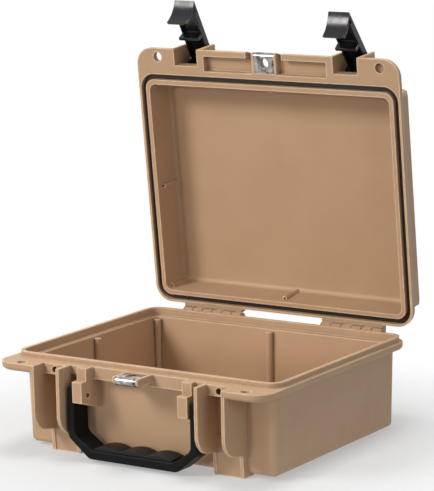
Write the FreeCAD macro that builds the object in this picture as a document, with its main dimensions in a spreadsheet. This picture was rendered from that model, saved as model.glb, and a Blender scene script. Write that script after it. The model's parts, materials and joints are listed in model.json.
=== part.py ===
"""Small protective hard case, shown with its lid open.

Frame: millimetres, origin at the centre of the feet's underside, +X to the right seen from
the front, +Y to the hinge side, +Z up. The lid and the latches are drawn about their own
pivots as if the case were shut, and their placements turn them to the open position.
"""
import FreeCAD
import Part
import Sketcher
import os
import re
from FreeCAD import Vector

SIZES = {
    # Overall form
    "case_width": 269.0, "flange_depth": 238.0, "parting_height": 79.0, "foot_height": 3.0,
    "flange_thickness": 10.6, "flange_radius": 16.0, "flange_round": 8.0, "base_flange": 7.0,
    "base_flange_round": 4.0, "base_round": 4.5, "rim_overhang": 8.5, "front_overhang": 31.0,
    "wall": 3.0, "draft_angle": 1.5, "parting_gap": 0.4, "overrun": 5.0,
    # Sealing ridge, ledge and gasket
    "ridge_inset": 4.6, "ridge_front_inset": 26.5, "ridge_width": 3.2, "ridge_height": 4.5,
    "ledge_drop": 7.0, "groove_width": 5.0, "gasket_thickness": 3.5, "gasket_gap": 0.3,
    # Screw bosses inside the walls
    "boss_radius": 3.2, "boss_drop": 2.0, "corner_boss_inset": 3.0, "mid_boss_inset": 2.4,
    "boss_sink": 0.5, "lid_boss_radius": 2.2, "lid_boss_depth": 7.2, "pilot_radius": 1.1,
    "pilot_depth": 9.0,
    # Latch bays of the base
    "bay_inset": 52.5, "bay_width": 23.0, "rib_thickness": 3.0, "strike_setback": 14.5,
    "rib_drop": 39.0, "rib_toe_height": 19.0, "rib_toe_reach": 4.5, "rib_bend": 11.0,
    "foot_reach": 3.2, "foot_slope": 14.0,
    "strike_height": 9.0, "strike_hole_radius": 2.8, "strike_hole_depth": 8.0,
    "strike_hole_drop": 4.8,
    # Front edge of the base and of the lid
    "front_step": 22.0, "band_height": 10.6, "block_width": 9.5, "block_depth": 26.0,
    "block_drop": 28.5, "block_slope": 9.0, "block_cover": 12.0, "arm_notch_depth": 18.0,
    "arm_gap": 2.5, "arm_play": 0.5, "lip_width": 5.5, "lip_depth": 7.0, "lip_gap": 6.0,
    "panel_gap": 4.0, "lid_panel_reach": 19.0, "ear_thickness": 6.0, "ear_reach": 20.0,
    "ear_hole_inset": 22.5, "blind_hole_inset": 18.5, "ear_hole_setback": 8.0,
    "ear_hole_radius": 4.4, "blind_depth": 4.0,
    # Padlock tabs with their clips
    "tab_half_width": 12.4, "clip_half_width": 10.3, "clip_sheet": 1.2, "clip_height": 7.5,
    "clip_reach": 18.0, "clip_fit": 0.1, "hasp_setback": 9.2, "hasp_radius": 4.8,
    # Skids under the base
    "skid_width": 26.0, "skid_margin": 12.0, "skid_edge": 1.5,
    # Hinges
    "hinge_offset": 8.0, "barrel_radius": 4.8, "hinge_inset": 61.5, "knuckle_pitch": 10.4,
    "knuckle_gap": 0.3, "hinge_arm_height": 6.5, "hinge_root": 1.6, "hinge_pin_radius": 2.0,
    "pin_clearance": 0.05, "lid_open_angle": 84.0,
    # Lid
    "lid_height": 34.0, "lid_draft_angle": 2.5, "lid_round": 3.5, "tray_round": 4.0,
    "tray_setback": 2.5, "panel_height": 1.8, "panel_margin": 24.0, "panel_radius": 12.0,
    # Latches
    "latch_pivot_y": 22.5, "latch_pivot_z": 17.6, "latch_width": 21.0, "slot_width": 24.0,
    "slot_depth": 15.0, "latch_eye_radius": 4.4, "eye_play": 0.4, "lug_thickness": 3.0, "lug_rise": 9.5,
    "lug_front": 27.0, "lever_offset": 13.5, "lever_thickness": 3.0, "lever_length": 64.6,
    "hook_level": 29.6, "hook_reach": 10.0, "hook_thickness": 3.0, "tab_reach": 18.5,
    "tab_rise": 9.5, "tab_thickness": 3.2, "tab_bend": 30.0, "lever_edge": 1.8,
    "lever_edge_depth": 3.2, "latch_pin_radius": 2.0, "left_latch_angle": 66.0,
    "right_latch_angle": 57.0,
    # Handle
    "handle_pivot_setback": 14.0, "handle_pivot_drop": 23.0, "arm_thickness": 7.0,
    "corner_round": 8.0, "crown_round": 3.0, "strap_front": 7.0, "strap_width": 21.0, "eye_radius": 7.5,
    "handle_drop": 53.0, "bar_thickness": 8.2, "corner_run": 21.0, "corner_rise": 17.0,
    "inner_run": 17.0, "inner_rise": 11.5, "strap_edge": 1.6, "handle_pin_radius": 2.3,
    "pin_recess": 3.5, "shoulder_drop": 7.5, "grip_skin": 1.4,
    "bump_height": 2.6, "grip_margin": 1.0, "grip_inset": 2.0,
}

# Places that follow from the sizes above
DERIVED = {
    "half_width": "(case_width/2)",
    "front_y": "(-flange_depth/2)",
    "rear_y": "(flange_depth/2)",
    "flange_under": "(parting_height - base_flange)",
    "band_under": "(parting_height - band_height)",
    "wall_x": "(half_width - rim_overhang)",
    "wall_front": "(front_y + front_overhang)",
    "wall_rear": "(rear_y - rim_overhang)",
    "wall_radius": "(flange_radius - rim_overhang)",
    "ridge_front": "(front_y + ridge_front_inset)",
    "ridge_rear": "(rear_y - ridge_inset)",
    "ridge_x": "(half_width - ridge_inset)",
    "ridge_radius": "(flange_radius - ridge_inset)",
    "ridge_top": "(parting_height + ridge_height)",
    "ledge_z": "(ridge_top - ledge_drop)",
    "floor_z": "(foot_height + wall)",
    "hinge_y": "(rear_y + hinge_offset)",
    "hinge_centre": "(half_width - hinge_inset)",
    "hinge_start": "(hinge_centre - 3*knuckle_pitch)",
    "handle_y": "(front_y + handle_pivot_setback)",
    "handle_z": "(parting_height - handle_pivot_drop)",
    "bay_centre": "(half_width - bay_inset)",
    "bay_inner": "(bay_centre - bay_width/2)",
    "bay_outer": "(bay_centre + bay_width/2)",
    "arm_outer": "(bay_inner - rib_thickness - arm_gap)",
    "arm_inner": "(arm_outer - arm_thickness)",
    "block_outer": "(arm_inner - arm_play)",
    "block_inner": "(block_outer - block_width)",
    "bump_pitch": "(2*(arm_inner - inner_run - grip_inset)/3)",
    "ear_hole_x": "(half_width - ear_hole_inset)",
    "blind_hole_x": "(half_width - blind_hole_inset)",
    "lid_panel_end": "(bay_centre - slot_width/2 - lug_thickness - panel_gap)",
    "hinge_bore": "(hinge_pin_radius + pin_clearance)",
    "latch_bore": "(latch_pin_radius + pin_clearance)",
    "handle_bore": "(handle_pin_radius + pin_clearance)",
    # The same places seen from the hinge axis, for the lid
    "lid_front": "(-hinge_offset - flange_depth)",
    "lid_rear": "(-hinge_offset)",
    "lid_wall_front": "(lid_front + front_overhang)",
    "lid_wall_rear": "(lid_rear - rim_overhang)",
    "lid_ridge_front": "(lid_front + ridge_front_inset)",
    "lid_ridge_rear": "(lid_rear - ridge_inset)",
    "gasket_face": "(ridge_height + gasket_gap)",
    "groove_top": "(gasket_face + gasket_thickness)",
    "lid_floor": "(lid_height - wall)",
    "tray_x": "(half_width - rim_overhang - tray_setback)",
    "tray_front": "(lid_wall_front + tray_setback)",
    "tray_rear": "(lid_wall_rear - tray_setback)",
    "boss_shift": "(boss_radius - lid_boss_radius)",
    "pivot_y": "(lid_front + latch_pivot_y)",
}

doc = FreeCAD.newDocument("hard_case")
sheet = doc.addObject("Spreadsheet::Sheet", "Sizes")
for row, (alias, number) in enumerate(SIZES.items(), 1):
    sheet.set("A%d" % row, alias)
    sheet.set("B%d" % row, str(number))
    sheet.setAlias("B%d" % row, alias)
doc.recompute()

WORD = re.compile(r"[a-z][a-z_0-9]*")


def sized(text):
    """Return an expression with every derived place spelled out in sheet cells."""
    def swap(found):
        word = found.group()
        if word in DERIVED:
            return sized(DERIVED[word])
        return "Sizes." + word if word in SIZES else word
    return WORD.sub(swap, str(text))


def value(text):
    """Return the present value of an expression."""
    return float(sheet.evalExpression(sized(text)))


def neg(text):
    return "-(%s)" % text


def new_body(label):
    body = doc.addObject("PartDesign::Body", label)
    body.Label = label
    return body


def sketch_on(body, name, plane, offset="0"):
    """Add a sketch on an origin plane of the body, moved along the plane's normal."""
    sketch = body.newObject("Sketcher::SketchObject", name)
    origin = [item for item in body.Origin.OriginFeatures if item.Role == plane + "_Plane"]
    sketch.AttachmentSupport = [(origin[0], "")]
    sketch.MapMode = "FlatFace"
    sketch.setExpression("AttachmentOffset.Base.z", sized(offset))
    return sketch


def bind(sketch, kind, places, text):
    """Add one dimension to a sketch and tie it to an expression."""
    index = sketch.addConstraint(Sketcher.Constraint(kind, *places, value(text)))
    sketch.setExpression("Constraints[%d]" % index, sized(text))


def pin_point(sketch, item, end, across, along):
    """Fix one end of a sketch item by its distances from the sketch origin."""
    for kind, axis, text in (("DistanceX", -2, across), ("DistanceY", -1, along)):
        if str(text) == "0":
            sketch.addConstraint(Sketcher.Constraint("PointOnObject", item, end, axis))
        else:
            bind(sketch, kind, (-1, 1, item, end), text)


def outline(sketch, points, arcs=None):
    """Draw a closed outline; arcs maps a side's number to its radius and turning sense.

    A half circle, whose ends stand at the same distance across, is held by its centre.
    """
    arcs = arcs or {}
    spots = [Vector(value(x), value(y), 0) for x, y in points]
    count = len(points)
    items = []
    for side in range(count):
        start, end = spots[side], spots[(side + 1) % count]
        if side in arcs:
            radius, sense = arcs[side]
            chord = end - start
            half = chord.Length / 2
            sagitta = value(radius) - max(value(radius) ** 2 - half ** 2, 0) ** 0.5
            bulge = Vector(chord.y, -chord.x, 0).normalize() * sagitta * sense
            shape = Part.Arc(start, start + chord * 0.5 + bulge, end).toShape().Curve
            turn = sense > 0
            first, last = (start, end) if turn else (end, start)
            circle = Part.Circle(shape.Center, Vector(0, 0, 1), shape.Radius)
            item = sketch.addGeometry(Part.ArcOfCircle(
                circle, circle.parameter(first), circle.parameter(last)))
            items.append((item, 1 if turn else 2, 2 if turn else 1))
        else:
            items.append((sketch.addGeometry(Part.LineSegment(start, end)), 1, 2))
    for side in range(count):
        this, after = items[side], items[(side + 1) % count]
        sketch.addConstraint(Sketcher.Constraint(
            "Coincident", this[0], this[2], after[0], after[1]))
    for side, (x, y) in enumerate(points):
        pin_point(sketch, items[side][0], items[side][1], x, y)
    for side, (radius, sense) in arcs.items():
        across, after = points[side][0], points[(side + 1) % count][0]
        if across == after:
            bind(sketch, "DistanceX", (-1, 1, items[side][0], 3), across)
        else:
            bind(sketch, "Radius", (items[side][0],), radius)


def box(sketch, x0, x1, y0, y1):
    outline(sketch, [(x0, y0), (x1, y0), (x1, y1), (x0, y1)])


def disc(sketch, x, y, radius):
    middle = Vector(value(x), value(y), 0)
    item = sketch.addGeometry(Part.Circle(middle, Vector(0, 0, 1), value(radius)))
    pin_point(sketch, item, 3, x, y)
    bind(sketch, "Radius", (item,), radius)


def soft_box(sketch, x0, x1, y0, y1, radius):
    """Draw a rectangle with four equal round corners."""
    left, right, low, high = value(x0), value(x1), value(y0), value(y1)
    r = value(radius)
    ends = [((left + r, low), (right - r, low)), ((right, low + r), (right, high - r)),
            ((right - r, high), (left + r, high)), ((left, high - r), (left, low + r))]
    middles = [(right - r, low + r), (right - r, high - r), (left + r, high - r), (left + r, low + r)]
    lines = [sketch.addGeometry(Part.LineSegment(Vector(*a, 0), Vector(*b, 0))) for a, b in ends]
    corners = []
    for number, (x, y) in enumerate(middles):
        circle = Part.Circle(Vector(x, y, 0), Vector(0, 0, 1), r)
        first = Vector(*ends[number][1], 0)
        last = Vector(*ends[(number + 1) % 4][0], 0)
        corners.append(sketch.addGeometry(Part.ArcOfCircle(
            circle, circle.parameter(first), circle.parameter(last))))
    for number in range(4):
        after = lines[(number + 1) % 4]
        sketch.addConstraint(Sketcher.Constraint("Tangent", lines[number], 2, corners[number], 1))
        sketch.addConstraint(Sketcher.Constraint("Tangent", corners[number], 2, after, 1))
        kind = "Vertical" if number % 2 else "Horizontal"
        sketch.addConstraint(Sketcher.Constraint(kind, lines[number]))
        if number:
            sketch.addConstraint(Sketcher.Constraint("Equal", corners[0], corners[number]))
    bind(sketch, "Radius", (corners[0],), radius)
    bind(sketch, "DistanceY", (-1, 1, lines[0], 1), y0)
    bind(sketch, "DistanceX", (-1, 1, lines[1], 1), x1)
    bind(sketch, "DistanceY", (-1, 1, lines[2], 1), y1)
    bind(sketch, "DistanceX", (-1, 1, lines[3], 1), x0)


def grow(body, kind, sketch, length, flip=False, taper=None, both=False):
    """Pad or pocket a sketch."""
    step = body.newObject("PartDesign::" + kind, sketch.Name + kind)
    step.Profile = sketch
    step.setExpression("Length", sized(length))
    step.Reversed = flip
    step.Midplane = both
    if taper:
        step.setExpression("TaperAngle", sized(taper))
    sketch.Visibility = False
    doc.recompute()
    return step


def pad(body, sketch, length, **more):
    return grow(body, "Pad", sketch, length, **more)


def pocket(body, sketch, length, **more):
    return grow(body, "Pocket", sketch, length, **more)


def rounded(body, feature, radius, chosen, name):
    """Round the edges of a feature that the test picks."""
    step = body.newObject("PartDesign::Fillet", name)
    picked = ["Edge%d" % (n + 1) for n, edge in enumerate(feature.Shape.Edges) if chosen(edge)]
    step.Base = (feature, picked)
    step.setExpression("Radius", sized(radius))
    doc.recompute()
    return step


def flat_at(level):
    """Pick edges that lie in one horizontal plane."""
    def test(edge):
        bounds = edge.BoundBox
        return abs(bounds.ZMin - level) < 1e-4 and abs(bounds.ZMax - level) < 1e-4
    return test


def mirrored(x0, x1):
    """Give a span on the right and its twin on the left."""
    return [(x0, x1), (neg(x1), neg(x0))]


def boss_places(x, front, rear):
    """Give the eight boss centres along a wall line."""
    middle = "(%s + %s)/2" % (front, rear)
    spots = []
    for side in ("", "-"):
        for edge, sense in ((front, "+"), (rear, "-")):
            spots.append((side + "(%s - corner_boss_inset)" % x,
                          "%s %s corner_boss_inset" % (edge, sense)))
        spots.append((side + "(%s - mid_boss_inset)" % x, middle))
    spots.append(("0", "%s + mid_boss_inset" % front))
    spots.append(("0", "%s - mid_boss_inset" % rear))
    return spots


# Base shell: rim, body, front features, inside, hinge knuckles
base = new_body("base_shell")

rim = sketch_on(base, "BaseRim", "XY", "flange_under")
soft_box(rim, neg("half_width"), "half_width", "front_y", "rear_y", "flange_radius")
rim_pad = pad(base, rim, "base_flange")
rounded(base, rim_pad, "base_flange_round", flat_at(value("flange_under")), "BaseRimRound")

front_cuts = sketch_on(base, "BaseFrontCuts", "XY", "parting_height + overrun")
for x0, x1 in mirrored("tab_half_width", "block_inner"):
    box(front_cuts, x0, x1, "front_y - overrun", "front_y + front_step")
for x0, x1 in mirrored("bay_inner", "bay_outer"):
    box(front_cuts, x0, x1, "front_y - overrun", "front_y + strike_setback")
for x0, x1 in mirrored("block_outer", "bay_inner - rib_thickness"):
    box(front_cuts, x0, x1, "front_y - overrun", "front_y + arm_notch_depth")
for x0, x1 in mirrored("block_inner", "block_outer"):
    box(front_cuts, x0, x1, "front_y - overrun", "front_y + block_cover")
pocket(base, front_cuts, "base_flange + 2*overrun")

band = sketch_on(base, "BaseFrontBand", "YZ", "0")
box(band, "front_y + front_step", "wall_front + wall/2", "band_under", "flange_under + wall/2")
pad(base, band, "2*(bay_inner - rib_thickness/2)", both=True)

hull = sketch_on(base, "BaseHull", "XY", "parting_height")
soft_box(hull, neg("wall_x"), "wall_x", "wall_front", "wall_rear", "wall_radius")
hull_pad = pad(base, hull, "parting_height - foot_height", flip=True, taper="-draft_angle")
rounded(base, hull_pad, "base_round", flat_at(value("foot_height")), "BaseHullRound")

skids = sketch_on(base, "BaseSkids", "XY", "0")
for middle in ("-bay_centre", "0", "bay_centre"):
    box(skids, middle + " - skid_width/2", middle + " + skid_width/2",
        "wall_front + skid_margin", "wall_rear - skid_margin")
pad(base, skids, "floor_z")

for name, middle in (("Inner", "bay_inner - rib_thickness/2"),
                     ("Outer", "bay_outer + rib_thickness/2")):
    for side in ("", "-"):
        rib = sketch_on(base, "BaseRib%s%s" % (name, "Right" if side == "" else "Left"), "YZ",
                        side + "(%s)" % middle)
        outline(rib, [("wall_front + skid_margin", "parting_height"),
                      ("front_y", "parting_height"),
                      ("front_y", "parting_height - rib_drop"),
                      ("front_y + rib_bend", "rib_toe_height + wall"),
                      ("wall_front - rib_toe_reach", "rib_toe_height"),
                      ("wall_front - rib_toe_reach + skid_edge", "0"),
                      ("wall_front + skid_margin", "0")],
                arcs={2: ("rib_drop/2", 1)})
        pad(base, rib, "rib_thickness", both=True)

for side in ("", "-"):
    word = "Right" if side == "" else "Left"
    foot = sketch_on(base, "BaseFoot" + word, "YZ", side + "bay_centre")
    outline(foot, [("wall_front + skid_margin", "rib_toe_height + foot_slope"),
                   ("wall_front", "rib_toe_height + foot_slope"),
                   ("wall_front - foot_reach", "rib_toe_height"),
                   ("wall_front - foot_reach + skid_edge", "0"),
                   ("wall_front + skid_margin", "0")])
    pad(base, foot, "bay_width + rib_thickness", both=True)
    strike = sketch_on(base, "BaseStrike" + word, "YZ", side + "bay_centre")
    box(strike, "front_y + strike_setback", "wall_front + wall/2",
        "parting_height - strike_height", "flange_under + wall/2")
    pad(base, strike, "bay_width + rib_thickness", both=True)
    block = sketch_on(base, "BaseBlock" + word, "YZ", side + "(block_inner + block_width/2)")
    front = "wall_front - block_depth"
    low = "parting_height - block_drop"
    outline(block, [("wall_front + wall/2", "flange_under + wall/2"),
                    ("wall_front + wall/2", low + " - block_slope"), (front, low),
                    (front, "band_under"), ("front_y + block_cover", "band_under"),
                    ("front_y + block_cover", "flange_under + wall/2")])
    pad(base, block, "block_width", both=True)

ridge = sketch_on(base, "BaseRidge", "XY", "parting_height - wall")
soft_box(ridge, neg("ridge_x + ridge_width/2"), "ridge_x + ridge_width/2",
         "ridge_front - ridge_width/2", "ridge_rear + ridge_width/2", "ridge_radius + ridge_width/2")
pad(base, ridge, "ridge_height + wall")

mouth = sketch_on(base, "BaseMouth", "XY", "ridge_top + overrun")
soft_box(mouth, neg("ridge_x - ridge_width/2"), "ridge_x - ridge_width/2",
         "ridge_front + ridge_width/2", "ridge_rear - ridge_width/2", "ridge_radius - ridge_width/2")
pocket(base, mouth, "ledge_drop + overrun")

inside = sketch_on(base, "BaseInside", "XY", "ledge_z")
soft_box(inside, neg("wall_x - wall"), "wall_x - wall", "wall_front + wall", "wall_rear - wall",
         "wall_radius - wall/2")
inner = pocket(base, inside, "ledge_z - floor_z", taper="-draft_angle")
rounded(base, inner, "tray_round", lambda edge: (
    flat_at(value("floor_z"))(edge) and edge.BoundBox.YMin > value("wall_front")
    and edge.BoundBox.YMax < value("wall_rear")), "BaseFloorRound")

bosses = sketch_on(base, "BaseBosses", "XY", "floor_z - boss_sink")
for x, y in boss_places("(wall_x - wall)", "(wall_front + wall)", "(wall_rear - wall)"):
    disc(bosses, x, y, "boss_radius")
pad(base, bosses, "ledge_z - boss_drop - floor_z + boss_sink")

for side in ("", "-"):
    word = "Right" if side == "" else "Left"
    barrel = sketch_on(base, "BaseBarrel" + word, "YZ", side + "hinge_centre")
    disc(barrel, "hinge_y", "parting_height", "barrel_radius")
    pad(base, barrel, "6*knuckle_pitch - knuckle_gap", both=True)
    arm = sketch_on(base, "BaseHingeArm" + word, "YZ", side + "hinge_centre")
    outline(arm, [("rear_y - hinge_root", "parting_height"), ("hinge_y", "parting_height"),
                  ("hinge_y", "parting_height - barrel_radius"),
                  ("rear_y - hinge_root", "parting_height - hinge_arm_height")])
    pad(base, arm, "6*knuckle_pitch - knuckle_gap", both=True)

gaps = sketch_on(base, "BaseKnuckleGaps", "XY", "parting_height + barrel_radius + overrun")
for number in (1, 3, 5):
    for x0, x1 in mirrored("hinge_start + %d*knuckle_pitch - knuckle_gap/2" % number,
                           "hinge_start + %d*knuckle_pitch + knuckle_gap/2" % (number + 1)):
        box(gaps, x0, x1, "hinge_y - barrel_radius - knuckle_gap", "hinge_y + barrel_radius + overrun")
pocket(base, gaps, "2*barrel_radius + hinge_arm_height + 2*overrun")

bore = sketch_on(base, "BaseHingeBore", "YZ", "half_width")
disc(bore, "hinge_y", "parting_height", "hinge_bore")
pocket(base, bore, "case_width")

for side in ("", "-"):
    word = "Right" if side == "" else "Left"
    bore = sketch_on(base, "BaseHandleBore" + word, "YZ", side + "(block_inner + block_width/2)")
    disc(bore, "handle_y", "handle_z", "handle_bore")
    pocket(base, bore, "block_width + 2*wall", both=True)
    hole = sketch_on(base, "BaseStrikeHole" + word, "XZ", "-(front_y + strike_setback)")
    disc(hole, side + "bay_centre", "parting_height - strike_hole_drop", "strike_hole_radius")
    pocket(base, hole, "strike_hole_depth")

ears = sketch_on(base, "BaseEarHoles", "XY", "parting_height + overrun")
for side in ("", "-"):
    disc(ears, side + "ear_hole_x", "front_y + ear_hole_setback", "ear_hole_radius")
disc(ears, "0", "front_y + hasp_setback", "hasp_radius")
pocket(base, ears, "base_flange + 2*overrun")


def clip_seat(body, name, front, top, under, inward):
    """Cut the padlock tab so that its folded clip lies flush; inward is the side of the face."""
    seat = sketch_on(body, name, "YZ", "0")
    near = "%s - (%s)*clip_sheet" % (top, inward)
    far = "%s - (%s)*(clip_height - clip_sheet)" % (top, inward)
    bend = "%s + clip_height/2" % front
    end = "%s + clip_reach" % front
    outline(seat, [("%s - overrun" % front, "%s + (%s)*overrun" % (top, inward)),
                   (end, "%s + (%s)*overrun" % (top, inward)), (end, near), (bend, near),
                   (bend, far), (end, far), (end, "%s - (%s)*overrun" % (under, inward)),
                   ("%s - overrun" % front, "%s - (%s)*overrun" % (under, inward))],
            arcs={3: ("clip_height/2 - clip_sheet", inward)})
    pocket(body, seat, "2*(clip_half_width + clip_fit)", both=True)


clip_seat(base, "BaseClipSeat", "front_y", "parting_height", "flange_under", 1)


# Lid shell, drawn from the hinge axis as if shut
lid = new_body("lid_shell")

rim = sketch_on(lid, "LidRim", "XY", "parting_gap")
soft_box(rim, neg("half_width"), "half_width", "lid_front", "lid_rear", "flange_radius")
rim_pad = pad(lid, rim, "flange_thickness - parting_gap")
rounded(lid, rim_pad, "flange_round", flat_at(value("flange_thickness")), "LidRimRound")

front_cuts = sketch_on(lid, "LidFrontCuts", "XY", "flange_thickness + overrun")
for x0, x1 in mirrored("bay_centre - slot_width/2", "bay_centre + slot_width/2"):
    box(front_cuts, x0, x1, "lid_front - overrun", "lid_front + slot_depth")
pocket(lid, front_cuts, "flange_thickness + 2*overrun")

thin_ears = sketch_on(lid, "LidThinEars", "XY", "flange_thickness + overrun")
for x0, x1 in mirrored("bay_centre + slot_width/2", "half_width + overrun"):
    box(thin_ears, x0, x1, "lid_front - overrun", "lid_front + ear_reach")
pocket(lid, thin_ears, "flange_thickness + overrun - ear_thickness")

panels = sketch_on(lid, "LidFrontPanels", "XY", "0")
for side in ("", "-"):
    outline(panels, [(side + "tab_half_width", "lid_front - overrun"),
                     (side + "(tab_half_width + lip_gap)", "lid_front - overrun"),
                     (side + "(tab_half_width + lip_gap)", "lid_front + lip_width"),
                     (side + "lid_panel_end", "lid_front + lip_width"),
                     (side + "lid_panel_end", "lid_front + lid_panel_reach"),
                     (side + "tab_half_width", "lid_front + lid_panel_reach")])
pocket(lid, panels, "lip_depth", flip=True)

hull = sketch_on(lid, "LidHull", "XY", "parting_gap")
soft_box(hull, neg("wall_x"), "wall_x", "lid_wall_front", "lid_wall_rear", "wall_radius")
hull_pad = pad(lid, hull, "lid_height - parting_gap", taper="-lid_draft_angle")
rounded(lid, hull_pad, "lid_round", flat_at(value("lid_height")), "LidTopRound")

panel = sketch_on(lid, "LidPanel", "XY", "lid_height - wall/2")
soft_box(panel, neg("wall_x - panel_margin"), "wall_x - panel_margin",
         "lid_wall_front + panel_margin", "lid_wall_rear - panel_margin", "panel_radius")
pad(lid, panel, "panel_height + wall/2")

for name, offset in (("Inner", "- (slot_width + lug_thickness)/2"),
                     ("Outer", "+ (slot_width + lug_thickness)/2")):
    for side in ("", "-"):
        lug = sketch_on(lid, "LidLug%s%s" % (name, "Right" if side == "" else "Left"), "YZ",
                        side + "(bay_centre %s)" % offset)
        outline(lug, [("lid_wall_front + wall/2", "parting_gap"), ("lid_front", "parting_gap"),
                      ("lid_front", "lug_front"), ("pivot_y", "latch_pivot_z + lug_rise"),
                      ("lid_wall_front + wall/2", "latch_pivot_z + lug_rise")])
        pad(lid, lug, "lug_thickness", both=True)

tray = sketch_on(lid, "LidTray", "XY", "0")
soft_box(tray, neg("tray_x"), "tray_x", "tray_front", "tray_rear", "wall_radius - tray_setback/2")
tray_cut = pocket(lid, tray, "lid_floor", flip=True, taper="-lid_draft_angle")
rounded(lid, tray_cut, "tray_round", flat_at(value("lid_floor")), "LidFloorRound")

bosses = sketch_on(lid, "LidBosses", "XY", "lid_boss_depth")
pilots = sketch_on(lid, "LidPilots", "XY", "lid_boss_depth")
for x, y in boss_places("(tray_x + boss_shift)", "(tray_front - boss_shift)", "(tray_rear + boss_shift)"):
    disc(bosses, x, y, "lid_boss_radius")
    disc(pilots, x, y, "pilot_radius")
pad(lid, bosses, "lid_floor + wall/2 - lid_boss_depth")
pocket(lid, pilots, "pilot_depth", flip=True)

groove = sketch_on(lid, "LidGroove", "XY", "0")


def seal_ring(sketch):
    """Draw the ring that the gasket and its groove share."""
    for sense in ("+", "-"):
        half = "%s groove_width/2" % sense
        back = "%s groove_width/2" % ("-" if sense == "+" else "+")
        soft_box(sketch, neg("ridge_x %s" % half), "ridge_x %s" % half, "lid_ridge_front %s" % back,
                 "lid_ridge_rear %s" % half, "ridge_radius %s" % half)


seal_ring(groove)
pocket(lid, groove, "groove_top", flip=True)

for side in ("", "-"):
    word = "Right" if side == "" else "Left"
    barrel = sketch_on(lid, "LidBarrel" + word, "YZ", side + "hinge_centre")
    disc(barrel, "0", "0", "barrel_radius")
    pad(lid, barrel, "6*knuckle_pitch - knuckle_gap", both=True)
    arm = sketch_on(lid, "LidHingeArm" + word, "YZ", side + "hinge_centre")
    outline(arm, [("lid_rear - hinge_root", "parting_gap"), ("0", "parting_gap"),
                  ("0", "barrel_radius"), ("lid_rear - hinge_root", "hinge_arm_height")])
    pad(lid, arm, "6*knuckle_pitch - knuckle_gap", both=True)

gaps = sketch_on(lid, "LidKnuckleGaps", "XY", "hinge_arm_height + overrun")
for number in (0, 2, 4):
    for x0, x1 in mirrored("hinge_start + %d*knuckle_pitch - knuckle_gap/2" % number,
                           "hinge_start + %d*knuckle_pitch + knuckle_gap/2" % (number + 1)):
        box(gaps, x0, x1, "-barrel_radius - knuckle_gap", "barrel_radius + overrun")
pocket(lid, gaps, "hinge_arm_height + barrel_radius + 2*overrun")

for name, y, z, radius in (("Hinge", "0", "0", "hinge_bore"),
                           ("Latch", "pivot_y", "latch_pivot_z", "latch_bore")):
    bore = sketch_on(lid, "Lid%sBore" % name, "YZ", "half_width")
    disc(bore, y, z, radius)
    pocket(lid, bore, "case_width")

through = sketch_on(lid, "LidThroughHoles", "XY", "flange_thickness + overrun")
disc(through, "-ear_hole_x", "lid_front + ear_hole_setback", "ear_hole_radius")
disc(through, "0", "lid_front + hasp_setback", "hasp_radius")
pocket(lid, through, "flange_thickness + 2*overrun")
blind = sketch_on(lid, "LidBlindHole", "XY", "0")
disc(blind, "blind_hole_x", "lid_front + ear_hole_setback", "ear_hole_radius")
pocket(lid, blind, "blind_depth", flip=True)

clip_seat(lid, "LidClipSeat", "lid_front", "parting_gap", "flange_thickness", -1)


# Gasket, folded padlock clips
gasket = new_body("lid_gasket")
ring = sketch_on(gasket, "GasketRing", "XY", "gasket_face")
seal_ring(ring)
pad(gasket, ring, "gasket_thickness")


def clip(label, front, top, inward):
    """Fold one clip around its tab."""
    body = new_body(label)
    profile = sketch_on(body, label + "_profile", "YZ", "0")
    near = "%s - (%s)*clip_sheet" % (top, inward)
    far = "%s - (%s)*(clip_height - clip_sheet)" % (top, inward)
    back = "%s - (%s)*clip_height" % (top, inward)
    bend = "%s + clip_height/2" % front
    end = "%s + clip_reach" % front
    outline(profile, [(end, top), (bend, top), (bend, back), (end, back), (end, far), (bend, far),
                      (bend, near), (end, near)],
            arcs={1: ("clip_height/2", inward), 5: ("clip_height/2 - clip_sheet", -inward)})
    pad(body, profile, "2*clip_half_width", both=True)
    upper = top if inward > 0 else "%s + clip_height" % top
    hole = sketch_on(body, label + "_hole", "XY", "%s + overrun" % upper)
    disc(hole, "0", "%s + hasp_setback" % front, "hasp_radius")
    pocket(body, hole, "clip_height + 2*overrun")
    return body


base_clip = clip("base_hasp_clip", "front_y", "parting_height", 1)
lid_clip = clip("lid_hasp_clip", "lid_front", "parting_gap", -1)


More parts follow.
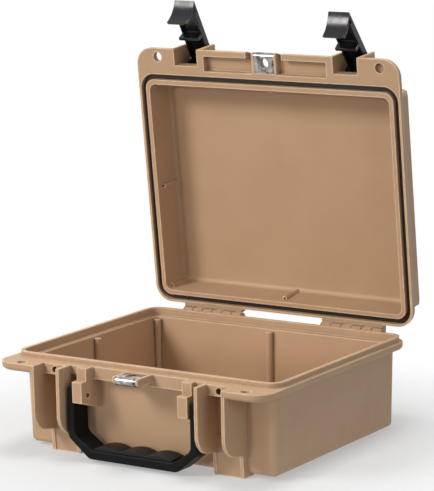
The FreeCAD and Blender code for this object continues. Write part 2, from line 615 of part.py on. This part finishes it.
# Latches, drawn from their pivots as if shut
def latch(label):
    body = new_body(label)
    inner = "-lever_offset"
    outer = "-lever_offset - lever_thickness"
    tip = "-lever_length"
    brim = "-lever_offset + tab_reach"
    profile = sketch_on(body, label + "_profile", "YZ", "0")
    outline(profile, [("0", "latch_eye_radius"), (outer, "latch_eye_radius"), (outer, tip),
                      (brim, "tab_rise - lever_length"),
                      (brim + " - tab_thickness/2", "tab_rise + tab_thickness - lever_length"),
                      (inner, "tab_thickness + tab_thickness/2 - lever_length"),
                      (inner, "-hook_level - hook_thickness"),
                      ("-lever_offset + hook_reach", "-hook_level - hook_thickness"),
                      ("-lever_offset + hook_reach", "-hook_level"), (inner, "-hook_level"),
                      (inner, "-latch_eye_radius"), ("0", "-latch_eye_radius")],
            arcs={2: ("tab_bend", -1), 4: ("tab_bend", 1)})
    pad(body, profile, "latch_width", both=True)
    root = sketch_on(body, label + "_root", "YZ", "0")
    box(root, outer, "0", "-latch_eye_radius", "latch_eye_radius")
    pad(body, root, "slot_width - 2*eye_play", both=True)
    eye = sketch_on(body, label + "_eye", "YZ", "0")
    disc(eye, "0", "0", "latch_eye_radius")
    pad(body, eye, "slot_width - 2*eye_play", both=True)
    for name, sense in (("left", "-"), ("right", "")):
        edge = sketch_on(body, "%s_%s_edge" % (label, name), "YZ",
                         sense + "(latch_width - lever_edge)/2")
        box(edge, "-lever_offset - lever_thickness/2", "-lever_offset + lever_edge_depth",
            "-lever_length + tab_rise", "-latch_eye_radius/2")
        pad(body, edge, "lever_edge", both=True)
    bore = sketch_on(body, label + "_bore", "YZ", "latch_width")
    disc(bore, "0", "0", "latch_bore")
    pocket(body, bore, "2*latch_width")
    return body


def rod(label, middle, y, z, radius, length):
    """A plain round pin lying along X."""
    body = new_body(label)
    profile = sketch_on(body, label + "_profile", "YZ", middle)
    disc(profile, y, z, radius)
    pad(body, profile, length, both=True)
    return body


latches = {"left": latch("left_latch"), "right": latch("right_latch")}
pins = {}
for side, sign in (("left", "-"), ("right", "")):
    pins[side] = rod(side + "_latch_pin", sign + "bay_centre", "pivot_y", "latch_pivot_z",
                     "latch_pin_radius", "slot_width + 2*lug_thickness")
    rod(side + "_hinge_pin", sign + "hinge_centre", "hinge_y", "parting_height",
        "hinge_pin_radius", "6*knuckle_pitch - knuckle_gap")
    rod(side + "_handle_pin", sign + "(block_inner + arm_outer)/2", "handle_y", "handle_z",
        "handle_pin_radius", "arm_outer - block_inner - 2*pin_recess")


# Handle: strap with eyes, and its grip
handle = new_body("handle_frame")
low = "(handle_z - handle_drop)"
bar_top = "(handle_z - handle_drop + bar_thickness)"
crown = "(handle_z + eye_radius)"
strap = sketch_on(handle, "HandleStrap", "XZ", "-(handle_y - strap_front + strap_width)")
right_half = [("arm_outer - corner_run", low), ("arm_outer", low + " + corner_rise"),
              ("arm_outer", crown), ("arm_inner", crown),
              ("arm_inner", bar_top + " + inner_rise"), ("arm_inner - inner_run", bar_top)]
left_half = [(neg(x), z) for x, z in reversed(right_half)]
outline(strap, right_half + left_half)
strap_pad = pad(handle, strap, "strap_width")


def across_strap(above):
    """Pick the strap's corner edges, those of the crowns or those of the bar."""
    def test(edge):
        bounds = edge.BoundBox
        level = bounds.XLength < 1e-4 and bounds.ZLength < 1e-4
        return level and (bounds.ZMin > value("handle_z")) == above
    return test


crowns = rounded(handle, strap_pad, "crown_round", across_strap(True), "HandleCrowns")
bends = rounded(handle, crowns, "corner_round", across_strap(False), "HandleBends")
rounded(handle, bends, "strap_edge", lambda edge: (
    abs(edge.BoundBox.YMin - edge.BoundBox.YMax) < 1e-4), "HandleStrapRound")
shoulder = sketch_on(handle, "HandleShoulder", "YZ", "0")
rear = "handle_y - strap_front + strap_width + overrun"
outline(shoulder, [("handle_y + eye_radius", crown + " + overrun"),
                   ("handle_y + eye_radius", "handle_z"),
                   (rear, "handle_z - shoulder_drop - overrun"),
                   (rear, crown + " + overrun")])
pocket(handle, shoulder, "2*arm_outer + 2*overrun", both=True)
bore = sketch_on(handle, "HandleBore", "YZ", "half_width")
disc(bore, "handle_y", "handle_z", "handle_bore")
pocket(handle, bore, "case_width")

grip = new_body("handle_grip")
swell = sketch_on(grip, "GripSwell", "XZ", "-(handle_y - strap_front + strap_width - grip_margin)")
crest = bar_top + " + grip_skin"
outline(swell, [("-3*bump_pitch/2", bar_top), ("3*bump_pitch/2", bar_top),
                ("3*bump_pitch/2", crest), ("bump_pitch/2", crest),
                ("-bump_pitch/2", crest), ("-3*bump_pitch/2", crest)],
        arcs={side: ("(bump_pitch^2/4 + bump_height^2)/(2*bump_height)", 1) for side in (2, 3, 4)})
pad(grip, swell, "strap_width - 2*grip_margin")


# Turn the lid and what rides on it to the open position
def open_up(body, turn, x="0", y="0", z="0"):
    """Place a body given about the hinge axis, or about a pivot in the shut lid."""
    body.Placement = FreeCAD.Placement(Vector(), FreeCAD.Rotation(Vector(-1, 0, 0), value(turn)))
    lean = "lid_open_angle"
    body.setExpression("Placement.Base.x", sized(x))
    body.setExpression("Placement.Base.y", sized(
        "hinge_y + (%s)*cos(%s) + (%s)*sin(%s)" % (y, lean, z, lean)))
    body.setExpression("Placement.Base.z", sized(
        "parting_height - (%s)*sin(%s) + (%s)*cos(%s)" % (y, lean, z, lean)))
    body.setExpression("Placement.Rotation.Angle", sized(turn))


for body in (lid, gasket, lid_clip, pins["left"], pins["right"]):
    open_up(body, "lid_open_angle")
for side, sign in (("left", "-"), ("right", "")):
    open_up(latches[side], "lid_open_angle + %s_latch_angle" % side, sign + "bay_centre",
            "pivot_y", "latch_pivot_z")

doc.recompute()
os.makedirs("parts", exist_ok=True)
for item in doc.Objects:
    if "Invalid" in item.State or "Error" in item.State:
        raise RuntimeError("%s is not valid" % item.Label)
for body in [item for item in doc.Objects if item.TypeId == "PartDesign::Body"]:
    shape = body.Shape
    if shape.isNull() or not shape.isValid() or len(shape.Solids) != 1:
        raise RuntimeError("%s has no single valid solid" % body.Label)
    shape.exportStep("parts/%s.step" % body.Label)
    bounds = shape.BoundBox
    print("%-18s %9.0f mm3  x %.1f %.1f  y %.1f %.1f  z %.1f %.1f" % (
        body.Label, shape.Volume, bounds.XMin, bounds.XMax, bounds.YMin, bounds.YMax,
        bounds.ZMin, bounds.ZMax))
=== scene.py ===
"""Looks of the open protective hard case: finishes, softened edges, studio and camera."""
import json
import math

import bpy
from mathutils import Matrix, Vector

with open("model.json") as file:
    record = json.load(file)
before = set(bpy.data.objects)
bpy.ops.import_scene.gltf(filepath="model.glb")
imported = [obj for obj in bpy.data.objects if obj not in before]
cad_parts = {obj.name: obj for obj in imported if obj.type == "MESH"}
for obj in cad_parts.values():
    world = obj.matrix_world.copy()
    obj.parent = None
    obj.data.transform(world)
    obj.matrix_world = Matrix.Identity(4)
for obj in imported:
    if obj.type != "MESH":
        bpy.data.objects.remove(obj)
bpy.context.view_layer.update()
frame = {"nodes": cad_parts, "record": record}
nodes = frame["nodes"]

MM = 0.001

# Camera, solved from the photograph's straight lines
CAMERA_PLACE = Vector((1.17855, -1.78021, 0.56076))
CAMERA_AIM = Vector((-0.53816, 0.82336, -0.18016))
CAMERA_ROLL = math.radians(-1.11)
CAMERA_LENS = 187.17
CAMERA_FAR = 20

# Colours, in linear light
WHITE = (1, 1, 1, 1)
TAN = (0.445, 0.284, 0.168, 1)
TAN_LIGHT = (0.57, 0.385, 0.245, 1)
# paler edge colour: a painted highlight; darker knuckle colour below: painted shade
TAN_EDGE_HIGHLIGHT = (0.86, 0.64, 0.43, 1)
TAN_KNUCKLE_SHADE = (0.10, 0.055, 0.03, 1)
SEAL = (0.008, 0.004, 0.003, 1)
SEAL_PALE = (0.016, 0.009, 0.007, 1)
# the paler edge colours of the black pieces are painted highlights
LATCH_BLACK = (0.006, 0.006, 0.008, 1)
LATCH_EDGE_HIGHLIGHT = (0.04, 0.04, 0.046, 1)
HANDLE_BLACK = (0.006, 0.0055, 0.0055, 1)
HANDLE_EDGE_HIGHLIGHT = (0.014, 0.013, 0.013, 1)
GRIP_BLACK = (0.013, 0.012, 0.012, 1)
GRIP_EDGE_HIGHLIGHT = (0.035, 0.032, 0.031, 1)
# the plate's darker colour is painted dark reflection
PLATE = (0.60, 0.59, 0.58, 1)
PLATE_DARK_REFLECTION = (0.035, 0.033, 0.03, 1)
PIN_STEEL = (0.10, 0.095, 0.09, 1)
PIN_PALE = (0.2, 0.19, 0.18, 1)
FLOOR_GREY = (0.38, 0.38, 0.38, 1)
WARM_LIGHT = (1, 0.98, 0.95)
WHITE_LIGHT = (1, 1, 1)
COOL_LIGHT = (0.84, 0.92, 1)

# Surface: painted highlights on edges, painted shade on knuckle edges and in corners
NOISE_MIDDLE = (0.3, 0.7)
EDGE_HIGHLIGHT_SAMPLES = 6
CASE_EDGE_HIGHLIGHT = {"radius": 2.0 * MM, "turn": 0.12}
BLACK_EDGE_HIGHLIGHT = {"radius": 0.9 * MM, "turn": 0.4}
KNUCKLE_RADIUS = 7.5 * MM
CAVITY_REACH = 6.0 * MM
CAVITY_SAMPLES = 8
CAVITY_SPAN = (0.1, 0.75)
CAVITY_DARKEST = 0.35

# Edges, rounded by the finish of their piece
EDGE_WIDTHS = {"case_shell": 0.7 * MM, "seal": 0.6 * MM, "plated_clip": 0.25 * MM, "latch_black": 0.5 * MM,
               "pin_steel": 0.2 * MM, "handle_black": 0.6 * MM, "grip_rubber": 0.6 * MM}
EDGE_ANGLE = math.radians(35)
EDGE_SEGMENTS = 2
FLAT_ANGLE = math.radians(0.5)
WELD_REACH = 0.002 * MM
AREA_WEIGHT = 100

# Studio
FLOOR_REACH = 0.75
# grey near the case, fading out over this span, as a painted soft shadow
FLOOR_SHADOW_FADE = (0.16 * FLOOR_REACH, 0.48 * FLOOR_REACH)
FLOOR_GLOW = 0.36
WORLD_LIGHT = 0.25
CASE_MIDDLE = (0, 0.02, 0.15)
LID_MIDDLE = (0, 0.12, 0.22)

VECTOR_MATH = "ShaderNodeVectorMath"
NUMBER_MATH = "ShaderNodeMath"


def new_material(name):
    """Return a material with its node tree and shader."""
    material = bpy.data.materials.new(name)
    material.use_nodes = True
    tree = material.node_tree
    return material, tree, tree.nodes["Principled BSDF"]


def feed(tree, socket, source):
    """Link another node's output to a socket, or set the socket to a value."""
    if isinstance(source, bpy.types.NodeSocket):
        tree.links.new(source, socket)
    else:
        socket.default_value = source


def set_inputs(tree, node, **inputs):
    """Feed a node's inputs by name; spaces in names are written as underscores."""
    for key, source in inputs.items():
        feed(tree, node.inputs[key.replace("_", " ")], source)
    return node


def add(tree, kind, **inputs):
    """Add a node and feed its inputs by name."""
    return set_inputs(tree, tree.nodes.new(kind), **inputs)


def compute(tree, kind, operation, *sources):
    """Add a math node and feed its inputs in order."""
    node = tree.nodes.new(kind)
    node.operation = operation
    for socket, source in zip(node.inputs, sources):
        feed(tree, socket, source)
    return node


def own_place(tree):
    """Give the place on an object, in its own metres."""
    return tree.nodes.new("ShaderNodeTexCoord").outputs["Object"]


def place_noise(tree, scale, detail=2.0):
    """Give a noise that stays in its place on the object."""
    noise = add(tree, "ShaderNodeTexNoise", Vector=own_place(tree), Scale=scale, Detail=detail)
    return noise.outputs["Fac"]


def ranged(tree, source, start, end, low=0.0, high=1.0, smooth=False):
    """Map the span from start to end onto the span from low to high."""
    span = add(tree, "ShaderNodeMapRange", Value=source, From_Min=start, From_Max=end,
               To_Min=low, To_Max=high)
    if smooth:
        span.interpolation_type = "SMOOTHSTEP"
    return span.outputs["Result"]


def spread(tree, noise, low, high):
    """Map the middle of a noise to a span of numbers."""
    return ranged(tree, noise, *NOISE_MIDDLE, low, high)


def grain(tree, shader, *layers):
    """Chain bumps of several sizes; a layer is scale, strength and depth."""
    before = None
    for scale, strength, depth in layers:
        bump = add(tree, "ShaderNodeBump", Strength=strength, Distance=depth, Height=place_noise(tree, scale))
        if before:
            tree.links.new(before.outputs["Normal"], bump.inputs["Normal"])
        before = bump
    tree.links.new(before.outputs["Normal"], shader.inputs["Normal"])


def blend_colours(tree, factor, first, second):
    """Mix two colours, or the outputs of two nodes, by a mask."""
    mix = tree.nodes.new("ShaderNodeMix")
    mix.data_type = "RGBA"
    return set_inputs(tree, mix, Factor=factor, A=first, B=second).outputs["Result"]


def blend_shaders(tree, factor, first, second, output):
    """Send a mix of two shaders to the tree's output."""
    mix = tree.nodes.new("ShaderNodeMixShader")
    for socket, source in zip(mix.inputs, (factor, first, second)):
        tree.links.new(source, socket)
    tree.links.new(mix.outputs["Shader"], tree.nodes[output].inputs["Surface"])


def edge_highlight_mask(tree, radius, turn):
    """Give a mask of the edges for a painted highlight, which is full where rounding them turns the surface
    this much.
    """
    rounded = add(tree, "ShaderNodeBevel", Radius=radius)
    rounded.samples = EDGE_HIGHLIGHT_SAMPLES
    plain = tree.nodes.new("ShaderNodeNewGeometry")
    along = compute(tree, VECTOR_MATH, "DOT_PRODUCT", rounded.outputs["Normal"], plain.outputs["Normal"])
    return ranged(tree, along.outputs["Value"], 1.0, 1.0 - turn)


def near_hinge(tree, radius):
    """Give a mask of the hinge knuckles, whose edges get painted shade instead of the painted highlight."""
    joints = {row["name"]: row for row in frame["record"]["behaviour"]["joints"]}
    place = own_place(tree)
    for operation, vector in (("SUBTRACT", joints["lid_hinge"]["pos_m"]), ("MULTIPLY", (0, 1, 1))):
        place = compute(tree, VECTOR_MATH, operation, place, vector).outputs["Vector"]
    away = compute(tree, VECTOR_MATH, "LENGTH", place).outputs["Value"]
    return compute(tree, NUMBER_MATH, "LESS_THAN", away, radius).outputs["Value"]


def cavity_shade(tree, colour):
    """Darken a colour in holes and inner corners, as painted shade."""
    hidden = add(tree, "ShaderNodeAmbientOcclusion", Distance=CAVITY_REACH)
    hidden.samples = CAVITY_SAMPLES
    hidden.only_local = True
    shade = ranged(tree, hidden.outputs["AO"], *CAVITY_SPAN, low=CAVITY_DARKEST)
    scaled = compute(tree, VECTOR_MATH, "SCALE", colour)
    return set_inputs(tree, scaled, Scale=shade).outputs["Vector"]


def case_plastic():
    """Tan moulded plastic: fine grain, faint cloudiness, a painted highlight on the edges, painted shade on
    the knuckle edges and in hollows.
    """
    material, tree, shader = new_material("case_shell_finish")
    cloud = spread(tree, place_noise(tree, scale=22.0, detail=4.0), low=0.0, high=0.25)
    body = blend_colours(tree, cloud, TAN, TAN_LIGHT)
    patches = spread(tree, place_noise(tree, scale=160.0, detail=3.0), low=0.45, high=0.95)
    highlight_mask = compute(tree, NUMBER_MATH, "MULTIPLY", edge_highlight_mask(tree, **CASE_EDGE_HIGHLIGHT), patches).outputs["Value"]
    edge = blend_colours(tree, near_hinge(tree, KNUCKLE_RADIUS), TAN_EDGE_HIGHLIGHT, TAN_KNUCKLE_SHADE)
    painted_edges = blend_colours(tree, highlight_mask, body, edge)
    rough = spread(tree, place_noise(tree, scale=60.0, detail=3.0), low=0.40, high=0.56)
    set_inputs(tree, shader, Base_Color=cavity_shade(tree, painted_edges), Roughness=rough, Specular_IOR_Level=0.28)
    grain(tree, shader, (1500.0, 0.10, 0.25 * MM), (380.0, 0.05, 0.4 * MM))
    return material


def black_finish(name, colour, edge, rough, gloss, layer):
    """Black moulding with uneven gloss and paler edges as a painted highlight."""
    material, tree, shader = new_material(name)
    tint = blend_colours(tree, edge_highlight_mask(tree, **BLACK_EDGE_HIGHLIGHT), colour, edge)
    haze = spread(tree, place_noise(tree, scale=140.0, detail=4.0), *rough)
    set_inputs(tree, shader, Base_Color=tint, Roughness=haze, Specular_IOR_Level=gloss)
    grain(tree, shader, layer)
    return material


def latch_plastic():
    """Smooth black plastic with a soft gloss."""
    return black_finish("latch_black_finish", LATCH_BLACK, LATCH_EDGE_HIGHLIGHT, rough=(0.16, 0.28), gloss=0.32,
                        layer=(1800.0, 0.05, 0.12 * MM))


def handle_plastic():
    """Dull black plastic with a fine grain."""
    return black_finish("handle_black_finish", HANDLE_BLACK, HANDLE_EDGE_HIGHLIGHT, rough=(0.40, 0.54), gloss=0.09,
                        layer=(1300.0, 0.16, 0.25 * MM))


def grip_rubber():
    """Soft black rubber with a coarser grain."""
    return black_finish("grip_rubber_finish", GRIP_BLACK, GRIP_EDGE_HIGHLIGHT, rough=(0.44, 0.58), gloss=0.14,
                        layer=(900.0, 0.22, 0.3 * MM))


def clouded_finish(name, colour, other, cloud, most, haze, rough, layer, metallic=0.0):
    """Finish with clouds of another colour and uneven gloss, from noises of a scale and detail."""
    material, tree, shader = new_material(name)
    tint = blend_colours(tree, spread(tree, place_noise(tree, *cloud), low=0.0, high=most), colour, other)
    uneven = spread(tree, place_noise(tree, *haze), *rough)
    set_inputs(tree, shader, Base_Color=tint, Roughness=uneven, Metallic=metallic)
    grain(tree, shader, layer)
    return material


def seal_rubber():
    """Soft dark rubber with a faint bloom."""
    return clouded_finish("seal_finish", SEAL, SEAL_PALE, cloud=(90.0, 3.0), most=0.6, haze=(300.0, 2.0),
                          rough=(0.48, 0.66), layer=(2200.0, 0.12, 0.15 * MM))


def plated_sheet():
    """Bright plated sheet with dark patches painted in as dark reflections."""
    return clouded_finish("plated_clip_finish", PLATE, PLATE_DARK_REFLECTION, cloud=(170.0, 3.0), most=1.0,
                          haze=(700.0, 4.0), rough=(0.06, 0.15), layer=(1800.0, 0.05, 0.1 * MM), metallic=1.0)


def pin_steel():
    """Dark plain steel."""
    return clouded_finish("pin_steel_finish", PIN_STEEL, PIN_PALE, cloud=(400.0, 3.0), most=1.0,
                          haze=(900.0, 3.0), rough=(0.28, 0.48), layer=(1600.0, 0.06, 0.1 * MM), metallic=1.0)


def soften(piece, width):
    """Round the sharp edges of a piece a little and keep its flat faces flat."""
    weld = piece.modifiers.new("weld", "WELD")
    weld.merge_threshold = WELD_REACH
    flat = piece.modifiers.new("flat", "DECIMATE")
    flat.decimate_type = "DISSOLVE"
    flat.angle_limit = FLAT_ANGLE
    bevel = piece.modifiers.new("bevel", "BEVEL")
    bevel.width = width
    bevel.segments = EDGE_SEGMENTS
    bevel.limit_method = "ANGLE"
    bevel.angle_limit = EDGE_ANGLE
    bevel.harden_normals = True
    even = piece.modifiers.new("even", "WEIGHTED_NORMAL")
    even.weight = AREA_WEIGHT
    even.keep_sharp = True


def link(item):
    """Put an object into the scene."""
    bpy.context.scene.collection.objects.link(item)
    return item


def floor_finish():
    """Pale floor, grey near the case as a painted soft shadow, that lets the white surround through towards
    its edge.
    """
    material, tree, shader = new_material("floor_finish")
    set_inputs(tree, shader, Base_Color=FLOOR_GREY, Roughness=0.9, Specular_IOR_Level=0.1,
               Emission_Color=WHITE, Emission_Strength=FLOOR_GLOW)
    away = compute(tree, VECTOR_MATH, "LENGTH", own_place(tree)).outputs["Value"]
    fade = ranged(tree, away, *FLOOR_SHADOW_FADE, smooth=True)
    clear = tree.nodes.new("ShaderNodeBsdfTransparent")
    blend_shaders(tree, fade, shader.outputs["BSDF"], clear.outputs["BSDF"], "Material Output")
    return material


def add_floor():
    """Add the square floor under the case."""
    mesh = bpy.data.meshes.new("floor")
    corners = [(x * FLOOR_REACH, y * FLOOR_REACH, 0) for x, y in ((-1, -1), (1, -1), (1, 1), (-1, 1))]
    mesh.from_pydata(corners, [], [(0, 1, 2, 3)])
    mesh.materials.append(floor_finish())
    return link(bpy.data.objects.new("floor", mesh))


def place_lamp(lamp, place, target, power, colour):
    """Put a lamp at a place, aimed at another."""
    lamp.energy = power
    lamp.color = colour
    item = link(bpy.data.objects.new(lamp.name, lamp))
    item.location = place
    item.rotation_euler = (Vector(target) - Vector(place)).to_track_quat("-Z", "Y").to_euler()


def disc_light(name, place, size, power, colour):
    """Add a disc lamp aimed at the middle of the case."""
    lamp = bpy.data.lights.new(name, "AREA")
    lamp.shape = "DISK"
    lamp.size = size
    place_lamp(lamp, place, CASE_MIDDLE, power, colour)


def lid_light(name, place, size, power, colour, cone, blend):
    """Add a spot with a soft source, aimed into the lid."""
    lamp = bpy.data.lights.new(name, "SPOT")
    lamp.shadow_soft_size = size
    lamp.spot_size = math.radians(cone)
    lamp.spot_blend = blend
    place_lamp(lamp, place, LID_MIDDLE, power, colour)


def add_surround():
    """Add a weak even light from all round, which is white where it is seen or mirrored."""
    world = bpy.data.worlds.new("surround")
    bpy.context.scene.world = world
    world.use_nodes = True
    tree = world.node_tree
    weak = set_inputs(tree, tree.nodes["Background"], Color=WHITE, Strength=WORLD_LIGHT)
    white = add(tree, "ShaderNodeBackground", Color=WHITE)
    ray = tree.nodes.new("ShaderNodeLightPath")
    seen = ray.outputs["Is Camera Ray"]
    for name in ("Is Glossy Ray", "Is Transmission Ray"):
        seen = compute(tree, NUMBER_MATH, "MAXIMUM", seen, ray.outputs[name]).outputs["Value"]
    blend_shaders(tree, seen, weak.outputs["Background"], white.outputs["Background"], "World Output")


def add_camera():
    """Add the camera at the photograph's place, turned and rolled as the photograph was."""
    aim = CAMERA_AIM.normalized()
    level = aim.cross(Vector((0, 0, 1))).normalized()
    upright = level.cross(aim)
    right = level * math.cos(CAMERA_ROLL) + upright * math.sin(CAMERA_ROLL)
    up = upright * math.cos(CAMERA_ROLL) - level * math.sin(CAMERA_ROLL)
    lens = bpy.data.cameras.new("camera")
    lens.lens = CAMERA_LENS
    lens.clip_end = CAMERA_FAR
    camera = link(bpy.data.objects.new("camera", lens))
    turn = Matrix((right, up, -aim)).transposed()
    camera.matrix_world = Matrix.Translation(CAMERA_PLACE) @ turn.to_4x4()
    return camera


# Pieces
finishes = {
    "case_shell": case_plastic(),
    "seal": seal_rubber(),
    "plated_clip": plated_sheet(),
    "latch_black": latch_plastic(),
    "pin_steel": pin_steel(),
    "handle_black": handle_plastic(),
    "grip_rubber": grip_rubber(),
}
for row in frame["record"]["subparts"]:
    piece = nodes[row["node"]]
    piece.data.materials.clear()
    piece.data.materials.append(finishes[row["material_slot"]])
    soften(piece, EDGE_WIDTHS[row["material_slot"]])

# Floor, lights, surround and camera
floor = add_floor()
disc_light("key", (-1.15, -1.65, 1.45), size=0.8, power=37, colour=WARM_LIGHT)
disc_light("top", (0.1, 0.2, 2.2), size=0.9, power=28, colour=WHITE_LIGHT)
disc_light("side", (1.9, -0.9, 0.6), size=1.2, power=8.5, colour=COOL_LIGHT)
lid_light("lid_spot", (-0.4, -2.05, 0.6), size=0.35, power=195, colour=WARM_LIGHT, cone=10, blend=0.6)
add_surround()
bpy.context.scene.camera = add_camera()
bpy.context.scene.view_settings.view_transform = "Standard"
